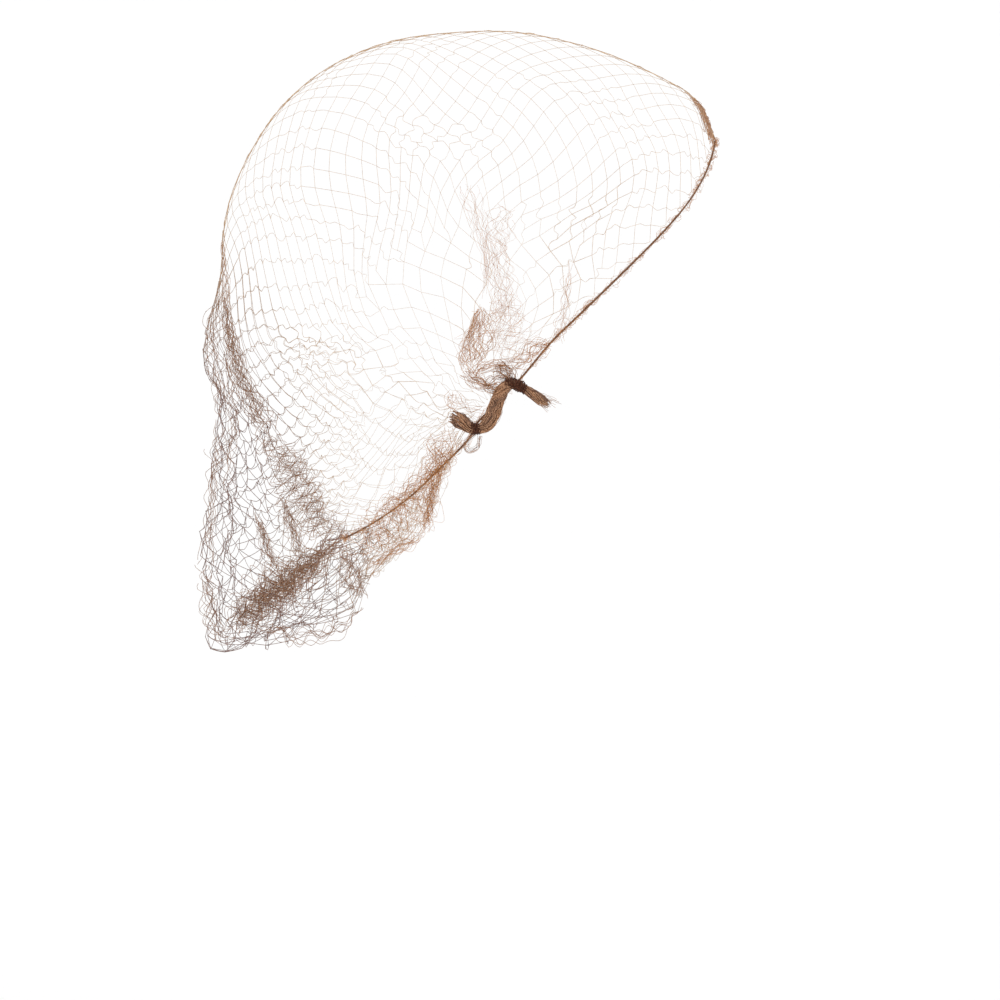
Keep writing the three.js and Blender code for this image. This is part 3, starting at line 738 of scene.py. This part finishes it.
# Slack above 0 gives the strip's threads the darker, greyer slack tones, which are painted shade.
def fold_strip(pixels, widths, count, seed, height=0.8, loose=0.5, zigzag=0.4, radius=0.085, slack=0.5):
    """A strip of netting pushed together along a path, as a list of thread polylines."""
    draw = np.random.default_rng(seed)
    line, across, wide = along_path(pixels, widths)
    steps = len(line)
    at = np.arange(steps) * path_step
    place = draw.uniform(-1, 1, count)[:, None] * 0.75
    swing = np.sin(2 * math.pi * (at / draw.uniform(8, 14, (count, 1)) + draw.uniform(0, 1, (count, 1))))
    side = place + zigzag * swing + loose * smooth_noise(count, steps, 5, draw)
    side = side * wide[None, :]
    bumps = height * (0.5 + 0.6 * smooth_noise(count, steps, 6, draw))
    flat = line[None] + across[None] * side[..., None]
    laid = on_net(flat, bumps)
    made = []
    for row in laid:
        begin = int(draw.uniform(0, 0.25) * steps)
        end = steps - int(draw.uniform(0, 0.25) * steps)
        cut = row[begin:max(end, begin + 4)]
        tied = np.where(np.arange(len(cut)) % 7 == int(draw.integers(0, 7)), radius * 1.6, 0)
        made.append(strand(cut, radius, slack, tied))
    return made


# %% [markdown]
# ## Which folds there are
# One flap of net stands beside the gather, with loops at its foot, and a fainter ridge runs to the
# elastic in front of it. Behind, the bag hangs in pleats, has a dense fold across its lower half, and
# is edged by its own turned hem. Two strips down the back of the crown are partly a fold of the net and
# partly painted shade along the outline of the head.

# %% Folds of the net
def folds_from(places, **usual):
    """Fold strips from rows of path, widths, number of threads, seed and what differs from the usual."""
    made = []
    for pixels, widths, count, seed, options in places:
        made.extend(fold_strip(pixels, widths, count, seed, **{**usual, **options}))
    return made


side_fold_places = [
    ([(481, 305), (474, 325), (466, 345), (462, 365), (466, 378)],
     [4, 6, 6, 6, 6], 9, 11, {"loose": 0.3}),
    ([(481, 308), (477, 325), (473, 345), (472, 362), (474, 376)],
     [4, 13, 20, 21, 13], 30, 12, {"loose": 0.35, "zigzag": 0.35}),
    ([(483, 310), (487, 328), (486, 345), (480, 362)],
     [4, 9, 10, 10], 7, 13, {"loose": 0.6}),
    ([(464, 372), (476, 382), (492, 388), (508, 386)],
     [8, 11, 11, 8], 30, 14, {"height": 1.4, "slack": 0.2}),
    ([(474, 378), (484, 369), (498, 366), (510, 371)],
     [7, 9, 9, 8], 17, 15, {"height": 1.2}),
    ([(497, 364), (504, 370), (509, 378), (512, 384)],
     [10, 15, 13, 8], 44, 16, {"height": 1.2, "slack": 0.5}),
    ([(508, 366), (522, 358), (536, 349), (550, 343)],
     [10, 16, 14, 8], 20, 17, {"loose": 0.5}),
    ([(572, 262), (567, 290), (563, 318), (560, 344)],
     [6, 8, 8, 9], 10, 18, {"loose": 0.7, "radius": 0.04}),
    ([(464, 186), (478, 225), (486, 262), (484, 300)],
     [34, 22, 10, 8], 14, 19, {"loose": 0.15, "zigzag": 0.12, "radius": 0.032}),
    ([(503, 205), (500, 250), (506, 300), (508, 350)],
     [40, 26, 30, 44], 24, 20, {"loose": 0.3, "zigzag": 0.15, "radius": 0.032}),
    ([(490, 300), (500, 320), (506, 340), (512, 360)],
     [30, 46, 50, 30], 18, 21, {"loose": 0.6, "radius": 0.036}),
    ([(456, 392), (460, 404), (472, 412), (486, 412)],
     [10, 12, 12, 8], 8, 22, {"radius": 0.045}),
    ([(454, 392), (452, 402), (452, 412)],
     [8, 8, 8], 6, 23, {"loose": 0.8}),
    ([(452, 428), (444, 448), (440, 466), (434, 488), (429, 510), (426, 532)],
     [22, 26, 18, 10, 8, 7], 32, 24, {}),
    ([(455, 444), (437, 465), (413, 488), (391, 507), (368, 521)],
     [12, 13, 13, 12, 10], 24, 25, {"loose": 0.8, "radius": 0.06}),
    ([(426, 534), (410, 543), (392, 553), (376, 563), (364, 574)],
     [7, 7, 7, 8, 8], 13, 26, {"loose": 0.8}),
    ([(438, 488), (420, 506), (400, 522), (378, 536), (356, 550)],
     [14, 22, 26, 24, 14], 22, 27, {"loose": 0.9, "radius": 0.055}),
]
bag_fold_and_shade_places = [
    ([(342, 541), (322, 556), (298, 572), (270, 590), (248, 606), (228, 626)],
     [10, 18, 32, 34, 24, 12], 46, 31, {"loose": 0.45, "radius": 0.09, "slack": 0.5}),
    ([(318, 560), (296, 576), (272, 592), (250, 606)],
     [8, 18, 20, 12], 20, 32, {"loose": 0.5, "radius": 0.09, "slack": 0.4}),
    ([(300, 568), (282, 594), (262, 614), (242, 622), (232, 632)],
     [18, 30, 30, 20, 12], 22, 33, {"slack": 0.6}),
    ([(256, 512), (262, 530), (268, 550), (276, 568)],
     [4, 8, 9, 12], 18, 34, {"radius": 0.08}),
    ([(284, 500), (291, 520), (297, 542), (304, 562)],
     [4, 8, 10, 14], 20, 35, {"radius": 0.08}),
    ([(222, 240), (224, 262), (226, 288), (229, 318)],
     [3, 5, 8, 10], 9, 36, {"slack": 0.2, "radius": 0.07}),
    # These two strips follow the back of the crown: partly a fold where the net leaves the head, partly
    # painted shade along the head's outline.
    ([(225, 285), (228, 320), (236, 352), (246, 382), (260, 414), (278, 448)],
     [5, 9, 12, 14, 18, 22], 24, 37, {}),
    ([(270, 434), (290, 468), (309, 502), (326, 526), (342, 543)],
     [20, 26, 30, 26, 16], 31, 38, {"loose": 0.8, "radius": 0.075}),
    ([(342, 545), (350, 562), (355, 580), (360, 600)],
     [10, 20, 22, 14], 18, 39, {"loose": 0.7}),
    ([(262, 624), (280, 634), (304, 636), (330, 632), (351, 622), (361, 606)],
     [9, 10, 10, 10, 9, 8], 10, 40, {"loose": 0.9}),
    ([(226, 285), (216, 312), (212, 345), (216, 380), (220, 420)],
     [5, 10, 12, 10, 8], 8, 41, {"loose": 0.8}),
    ([(220, 420), (216, 455), (211, 490), (209, 530), (207, 565)],
     [8, 10, 9, 9, 9], 9, 42, {"loose": 0.8}),
    ([(208, 565), (208, 592), (212, 616), (221, 634), (236, 632)],
     [8, 10, 12, 14, 12], 11, 43, {"loose": 0.9}),
    ([(236, 632), (246, 624), (253, 614), (263, 620)],
     [10, 12, 12, 8], 8, 44, {"loose": 0.9}),
    ([(230, 330), (229, 365), (233, 405), (231, 450), (226, 490)],
     [8, 9, 9, 9, 8], 7, 45, {"loose": 0.7}),
]
side_folds = folds_from(side_fold_places, radius=0.06, slack=0.0)
build_threads("net_side_folds", threads_from(side_folds), 4, folded_thread, "net")
bag_fold_and_shade_threads = folds_from(bag_fold_and_shade_places)
build_threads("net_bag_folds_and_shade", threads_from(bag_fold_and_shade_threads), 4, bundled_thread, "net")

# %% [markdown]
# ## Bunched net at the front
# In the middle of the front edge the first rows are pushed together on the elastic, so the side view
# shows a brown wedge there. The threads run from one side to the other, close above the elastic.

# %% Front bunch
def chart_place(at_i, at_j, height):
    i0 = np.clip(np.floor(at_i).astype(int), 0, columns - 1)
    j0 = np.clip(np.floor(at_j).astype(int), 0, 2 * rows_side - 1)
    di, dj = (at_i - i0)[..., None], (at_j - j0)[..., None]

    def blend(grid):
        low = grid[i0, j0] * (1 - dj) + grid[i0, j0 + 1] * dj
        high = grid[i0 + 1, j0] * (1 - dj) + grid[i0 + 1, j0 + 1] * dj
        return low * (1 - di) + high * di

    return blend(surface) + blend(n) * height[..., None]


bunch_depth = 3.9  # half diamonds back from the front edge
bunch_thread_radius = 0.085


def front_bunch(count, seed):
    draw = np.random.default_rng(seed)
    steps = 60
    made = []
    for _ in range(count):
        reach = draw.uniform(2, 5)
        at_j = rows_side + np.linspace(-reach, reach, steps) + draw.uniform(-0.8, 0.8)
        depth = draw.uniform(0, 1) ** 1.1 * bunch_depth
        at_i = depth * (1 - 0.5 * (np.linspace(-1, 1, steps) ** 2))
        at_i = at_i + 0.35 * smooth_noise(1, steps, 5, draw)[0]
        swell = np.interp(at_i, (0, 1, 2.3, bunch_depth), (0.25, 0.5, 1, 0.05))
        height = swell * (0.1 + 1.3 * draw.uniform(0, 1)) + 0.2 * smooth_noise(1, steps, 5, draw)[0]
        line = chart_place(np.clip(at_i, 0.02, 12), at_j, np.clip(height, -0.2, 1.6))
        made.append(strand(line, bunch_thread_radius, 0.1))
    return made


build_threads("net_front_bunch", threads_from(front_bunch(25, 51)), 4, bundled_thread, "net")

# %% [markdown]
# ## The elastic
# A rubber thread wound with yarn runs once round the opening, behind the gathered end. The winding is a
# second, finer thread in a helix on the core. Small loops of the net stand off it where the net is
# laced on.

# %% Elastic
def tie_line(along, side):
    place = gather_centre + along * along_gather
    return np.array([place[0], side, place[1]])


def frames_along(line):
    """Two directions square to the line at each of its points, without twist."""
    ahead = np.gradient(line, axis=0)
    ahead /= np.linalg.norm(ahead, axis=1)[:, None]
    side = np.cross(ahead, [0.3, 0.1, 1.0])
    side /= np.linalg.norm(side, axis=1)[:, None]
    return ahead, side, np.cross(ahead, side)


def resampled(line, step):
    length = np.concatenate([[0], np.cumsum(np.linalg.norm(np.diff(line, axis=0), axis=1))])
    return spaced(line, np.linspace(0, 1, int(length[-1] / step) + 1))


elastic_radius = 0.5
core_radius = 0.27
winding_radius = 0.12
winding_offset = 0.25
winding_pitch = 1.1
winding_step = 0.25
elastic_side = bunch_side + bunch_half_depth + seat_gap + elastic_radius
edge_rows = slice(rows_side, 2 * rows_side - 2, 2)
front_edge = surface[0, edge_rows]
front_out = front_edge - surface[1, edge_rows]
front_out /= np.linalg.norm(front_out, axis=1)[:, None]
nape_edge = surface[-1, edge_rows]
nape_out = nape_edge - surface[-2, edge_rows]
nape_out /= np.linalg.norm(nape_out, axis=1)[:, None]
tuck = ramp(row_across[edge_rows], 0.5, 0.8)[:, None]
front_path = front_edge + front_out * 1.0
nape_path = nape_edge + nape_out * 1.0 * (1 - tuck) + np.array([0, 1.6, 0]) * tuck
behind = np.array([
    tie_line(upper_tie_rise + tie_length, elastic_side),
    tie_line(upper_tie_rise, elastic_side + seat_gap),
    tie_line((upper_tie_rise - lower_tie_fall) / 2, elastic_side),
    tie_line(-lower_tie_fall, elastic_side + bag_lap),
    tie_line(-lower_tie_fall - 4, elastic_side + bag_lap) + np.array([1.1, 0, -1.1]),
])
near_path = np.concatenate([front_path, behind, nape_path[:-2][::-1]])
far_path = near_path[1:-1][::-1] * np.array([1, -1, 1])
loop = curve_through(np.concatenate([near_path, far_path, near_path[:1]]), 6)
core = resampled(loop, 1.0)
fine = resampled(loop, winding_step)
_, side_a, side_b = frames_along(fine)
wind = np.arange(len(fine)) * winding_step * 2 * math.pi / winding_pitch
winding = fine + winding_offset * (side_a * np.cos(wind)[:, None] + side_b * np.sin(wind)[:, None])
elastic_lines = threads_from([strand(core, core_radius), strand(winding, winding_radius)])
build_threads("edge_elastic_cord", elastic_lines, 6, elastic_cover, "edge_elastic")
print("elastic loop mm: %.0f" % np.linalg.norm(np.diff(loop, axis=0), axis=1).sum())


lacing_radius = 0.05
loop_points = 14


def lacing_loops(count, seed):
    draw = np.random.default_rng(seed)
    ahead, a, b = frames_along(core)
    made = []
    for _ in range(count):
        at = int(draw.integers(2, len(core) - 2))
        turn_share = np.linspace(0, 1, loop_points)
        size = draw.uniform(0.6, 1.7)
        lean = draw.uniform(0, 2 * math.pi)
        out = a[at] * math.cos(lean) + b[at] * math.sin(lean)
        bulge = np.sin(turn_share * math.pi)[:, None] * size
        run = (turn_share - 0.5) * draw.uniform(1.5, 5)
        run = (run + 0.4 * smooth_noise(1, loop_points, 4, draw)[0])[:, None]
        line = core[at] + out * (0.3 + bulge) + ahead[at] * run
        line = line + 0.25 * smooth_noise(3, loop_points, 4, draw).T
        made.append(strand(line, lacing_radius))
    return made


lacing = threads_from(lacing_loops(560, 61))
build_threads("edge_lacing", lacing, 4, folded_thread, "edge_elastic")

# %% [markdown]
# ## The gathered end
# All the threads of the net's side run together into one soft rope, which bends twice between the two
# ties and frays behind each of them. Single fibres are drawn, with a twist, because the rope has no
# clear skin.

# %% Gathered end
fibre_step = 0.55


def rope(pixels, radii_mm, count, seed, fibre, twist=0.5, fray=0.0, slack=0.0, side=bunch_side):
    """Fibres packed round a path near the gather, each in a tone of its own, so that the rope is streaky.

    Fray spreads their last part and cuts them at uneven lengths.
    """
    draw = np.random.default_rng(seed)
    path = from_picture(pixels)
    path = np.stack([path[:, 0], np.full(len(path), side), path[:, 1]], axis=1)
    path = resampled(curve_through(path, 10), fibre_step)
    _, a, b = frames_along(path)
    share = np.linspace(0, 1, len(path))
    wide = np.interp(share, np.linspace(0, 1, len(radii_mm)), radii_mm)
    made = []
    for _ in range(count):
        where = math.sqrt(draw.uniform(0, 1))
        angle = draw.uniform(0, 2 * math.pi) + twist * share * 2 * math.pi
        wobble = 0.1 * smooth_noise(2, len(path), 5, draw)
        spread = wide * where * (1 + fray * share**2 * draw.uniform(0.2, 1.3))
        out_a = (spread * np.cos(angle) + wobble[0])[:, None]
        out_b = (spread * np.sin(angle) + wobble[1])[:, None]
        line = path + a * out_a + b * out_b
        stop = len(path) - int(fray * draw.uniform(0, 0.8) * len(path))
        line = line[:stop]
        tone = slack + 0.2 + 0.35 * math.sin(2 * angle[0]) + 0.25 * draw.normal()
        tone = min(max(tone, 0), 1)
        made.append(strand(line, fibre * draw.uniform(0.8, 1.2), tone))
    return made


bend = [(515, 384), (507, 386), (500, 395), (496, 406), (492, 417), (486, 426), (478, 430)]
bundle = rope(bend, [1.5, 2.1, 2.5, 2.6, 2.7, 2.5, 1.5], 130, 71, 0.15)
bundle += rope(bend, [2.0, 2.7, 3.1, 3.2, 3.2, 3.0, 1.8], 14, 78, 0.05, 1.3)
bundle += rope(
    [(512, 383), (521, 387), (530, 393), (539, 399), (549, 406)],
    [1.2, 1.4, 1.7, 1.7, 1.1], 90, 72, 0.14, 0.3, 0.45, 0.2,
)
bundle += rope(
    [(480, 430), (472, 429), (464, 424), (451, 415)],
    [1.2, 2.0, 2.6, 1.7], 100, 73, 0.14, 0.2, 0.5, 0.2,
)
bundle += rope(
    [(532, 395), (542, 401), (551, 406), (558, 410)],
    [1.4, 2.2, 2.6, 2.4], 24, 74, 0.05, 0.2, 0.7,
)
bundle += rope(
    [(512, 381), (502, 377), (491, 380), (486, 388), (496, 392), (506, 387)],
    [0.5, 1.0, 1.4, 1.3, 0.9, 0.5], 9, 75, 0.06,
)
bundle += rope(
    [(476, 434), (466, 442), (468, 451), (477, 448), (480, 436)],
    [0.4, 0.9, 1.0, 0.7], 9, 76, 0.06, slack=0.3,
)
build_threads("gathered_rope", threads_from(bundle), 4, bundled_thread, "gathered_end")

# %% [markdown]
# ## The two ties
# A dark thread is wound several times round each end of the rope and knotted. Helices with close,
# uneven turns make each tie, with two strands across them, and a loose end sticks out.

# %% Ties
def winding_round(pixels, radii_mm, turns, thread, seed):
    """Three layers of thread over a neck of the rope, two strands across them and a loose end."""
    draw = np.random.default_rng(seed)
    path = from_picture(pixels)
    path = np.stack([path[:, 0], np.full(len(path), bunch_side), path[:, 1]], axis=1)
    path = spaced(curve_through(path, 10), np.linspace(0, 1, turns * 22))
    _, a, b = frames_along(path)
    share = np.linspace(0, 1, len(path))
    wide = np.interp(share, np.linspace(0, 1, len(radii_mm)), radii_mm)
    rounds = []
    for layer in range(3):
        angle = share * turns * 2 * math.pi + layer * 2.1 + 0.5 * smooth_noise(1, len(path), 15, draw)[0]
        rounds.append((angle, wide + 0.12 * layer + 0.16 * smooth_noise(1, len(path), 9, draw)[0], share))
    for begin in (0.15, 0.5):
        angle = -math.pi / 2 + np.linspace(-1.4, 1.4, 20)
        rounds.append((angle, np.full(20, wide.mean() + 0.45), begin + np.linspace(0, 0.4, 20)))
    made = []
    for angle, reach, at in rounds:
        middle, out_a, out_b = (
            np.stack([np.interp(at, share, side[:, k]) for k in range(3)], axis=1) for side in (path, a, b)
        )
        line = middle + out_a * (reach * np.cos(angle))[:, None] + out_b * (reach * np.sin(angle))[:, None]
        made.append(strand(line, thread))
    loose_end = made[-1][0][-1] + np.linspace(0, 1, 10)[:, None] * (path[-1] - path[0]) * 0.5
    loose_end = loose_end + 0.2 * smooth_noise(3, 10, 4, draw).T
    made.append(strand(loose_end, thread * 0.7))
    return made


tie_thread_radius = 0.2
upper_neck = [(505, 384), (511, 384), (518, 386), (526, 391)]
upper_winding = winding_round(upper_neck, [1.5, 1.8, 1.7, 1.3], 8, tie_thread_radius, 81)
build_threads("upper_tie_winding", threads_from(upper_winding), 6, tie_cover, "upper_tie")
lower_neck = [(481, 431), (478, 430), (474, 429), (470, 427)]
lower_winding = winding_round(lower_neck, [1.4, 1.7, 1.6, 1.4], 5, tie_thread_radius, 82)
build_threads("lower_tie_winding", threads_from(lower_winding), 6, tie_cover, "lower_tie")

# %% [markdown]
# ## The far gather
# The other side isn't seen in the picture. It is finished plainly, as a short rope of the same thread
# with the same bends and rounded ends.

# %% Far knot
far_side = half_width + bunch_half_depth / 2
far_rope = rope(bend, [0.7, 1.9, 2.0, 2.1, 2.1, 1.9, 0.7], 70, 91, 0.17, 0.8, side=far_side)
build_threads("far_knot_fibres", threads_from(far_rope), 5, bundled_thread, "far_knot")

# %% [markdown]
# ## Floor, light and camera
# The net is seen square from its side with a long lens, before a white sweep, with soft light from all
# round. The paper is nearly as bright as the light round it, so that no edge of it shows from any side.

# %% Stage
def paper_finish():
    """Matt pale paper. Its back is clear, so that the sweep hides nothing from a camera behind it."""
    material = bpy.data.materials.new("pale_paper")
    material.use_nodes = True
    tree = material.node_tree
    tree.nodes.clear()
    place = add_node(tree, "ShaderNodeTexCoord")
    noise = add_node(
        tree, "ShaderNodeTexNoise", values={"Scale": 3.0}, links={"Vector": place.outputs["Object"]},
    )
    matt = add_node(
        tree, "ShaderNodeBsdfDiffuse",
        links={"Color": two_tones(tree, noise.outputs["Fac"], "#fbfbfb", "#fefefe", 0.3, 0.7)},
    )
    clear = add_node(tree, "ShaderNodeBsdfTransparent")
    side = add_node(tree, "ShaderNodeNewGeometry")
    mix = add_node(tree, "ShaderNodeMixShader", links={"Fac": side.outputs["Backfacing"]})
    tree.links.new(matt.outputs["BSDF"], mix.inputs[1])
    tree.links.new(clear.outputs["BSDF"], mix.inputs[2])
    add_node(tree, "ShaderNodeOutputMaterial", links={"Surface": mix.outputs["Shader"]})
    return material


def stage_sweep():
    """A floor that turns up into a wall in one rounded bend, wide enough for every side view. In metres."""
    floor_height, wall_top, radius, start, far = -0.6, 4.0, 1.4, 0.8, 40.0
    turns = np.linspace(0, math.pi / 2, 33)
    rounded = [(start + radius * math.sin(t), floor_height + radius * (1 - math.cos(t))) for t in turns]
    profile = [(-far, floor_height)] + rounded + [(start + radius, wall_top)]
    verts = [(x, y, z) for y, z in profile for x in (-far, far)]
    faces = [(2 * k, 2 * k + 1, 2 * k + 3, 2 * k + 2) for k in range(len(profile) - 1)]
    mesh = bpy.data.meshes.new("floor")
    mesh.from_pydata(verts, [], faces)
    mesh.shade_smooth()
    floor = bpy.data.objects.new("floor", mesh)
    bpy.context.scene.collection.objects.link(floor)
    mesh.materials.append(paper_finish())


def area_light(name, place, aim, size, power):
    data = bpy.data.lights.new(name, "AREA")
    data.size = size
    data.energy = power
    lamp = bpy.data.objects.new(name, data)
    bpy.context.scene.collection.objects.link(lamp)
    lamp.location = place
    way = np.array(aim) - np.array(place)
    lamp.rotation_mode = "QUATERNION"
    lamp.rotation_quaternion = Vector(way).to_track_quat("-Z", "Y")


lamp_aim = (0, 0, -0.1)
stage_sweep()
area_light("key", (-1.2, -2.2, 1.6), lamp_aim, 1.6, 10)
area_light("fill", (1.8, -2.0, 0.6), lamp_aim, 1.6, 3)
world_strength = 0.985
world = bpy.data.worlds.new("studio")
world.use_nodes = True
world.node_tree.nodes["Background"].inputs["Color"].default_value = (1, 1, 1, 1)
world.node_tree.nodes["Background"].inputs["Strength"].default_value = world_strength
bpy.context.scene.world = world
bpy.context.scene.view_settings.view_transform = "Standard"

camera_data = bpy.data.cameras.new("camera")
camera = bpy.data.objects.new("camera", camera_data)
bpy.context.scene.collection.objects.link(camera)
camera_data.sensor_width = 36
camera_data.lens = 36 * camera_distance / (mm_per_pixel * frame_pixels * MM)
camera.location = (view_middle[0] * MM, -camera_distance, view_middle[2] * MM)
camera.rotation_euler = (math.pi / 2, 0, 0)
camera_data.clip_end = 60
bpy.context.scene.camera = camera
